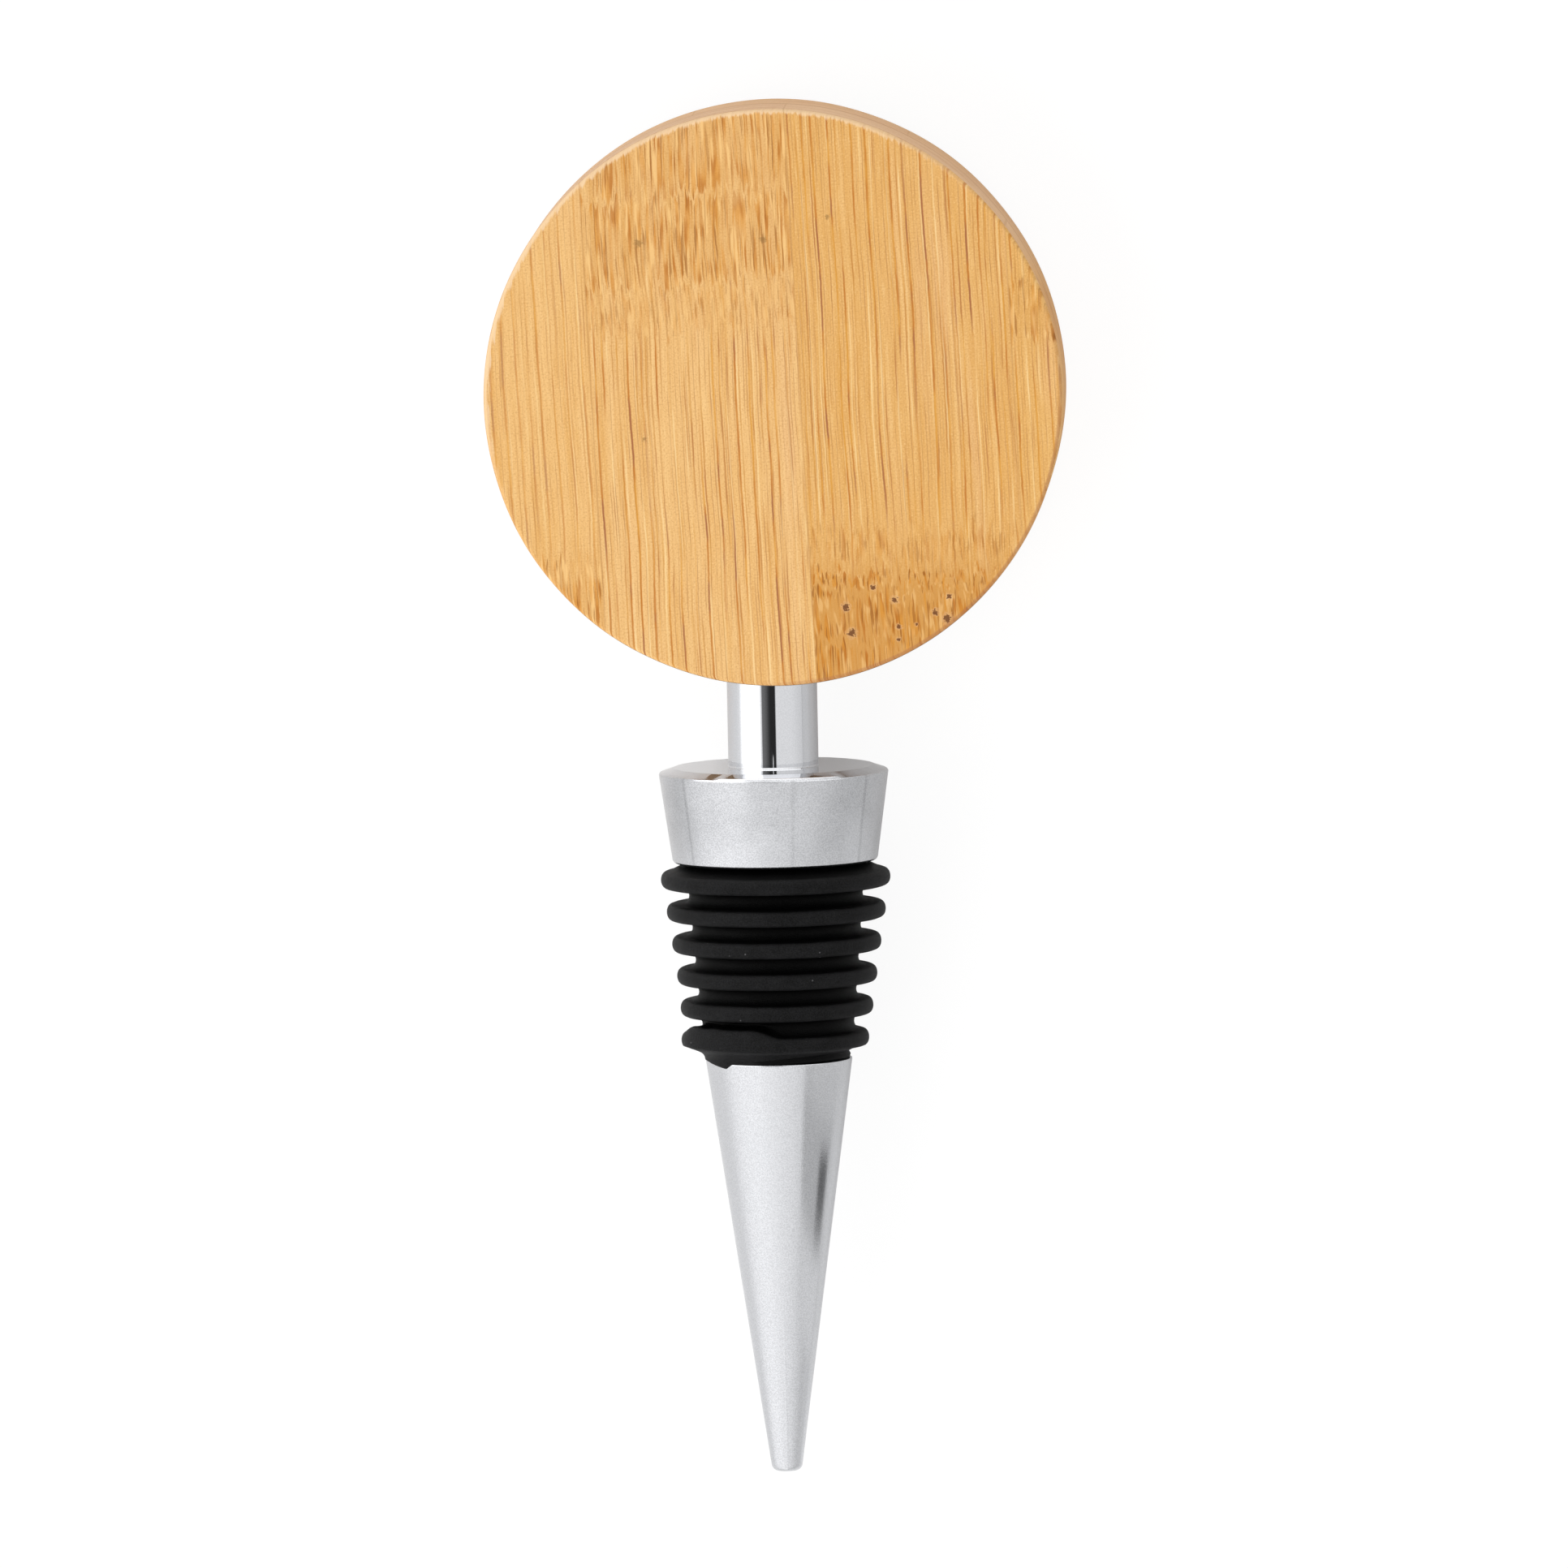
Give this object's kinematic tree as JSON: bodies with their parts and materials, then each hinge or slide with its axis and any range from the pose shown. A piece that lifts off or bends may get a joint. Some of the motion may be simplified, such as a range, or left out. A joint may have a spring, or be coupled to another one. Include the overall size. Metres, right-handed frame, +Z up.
{
  "type": "bottle stopper",
  "caption": "Bottle stopper with a round bamboo handle, a plated metal neck, collar and tapered cone, and a ribbed rubber sleeve that seals the bottle's mouth.",
  "frame": {"origin": "on the table, under the middle of the part's bounding box", "axes": "+Y along the stopper from its tip to its bamboo disc, +Z up from the table on which it lies, +X to the side on which the disc's edge touches the table"},
  "size_m": [0.0564, 0.1308, 0.0219],
  "materials": {
    "bamboo": "satin",
    "plated_zinc": "polished",
    "black_rubber": "matte"
  },
  "bodies": {
    "root": {"bamboo_disc": "bamboo", "stopper_body": "plated_zinc", "rubber_sleeve": "black_rubber"}
  },
  "joints": []
}
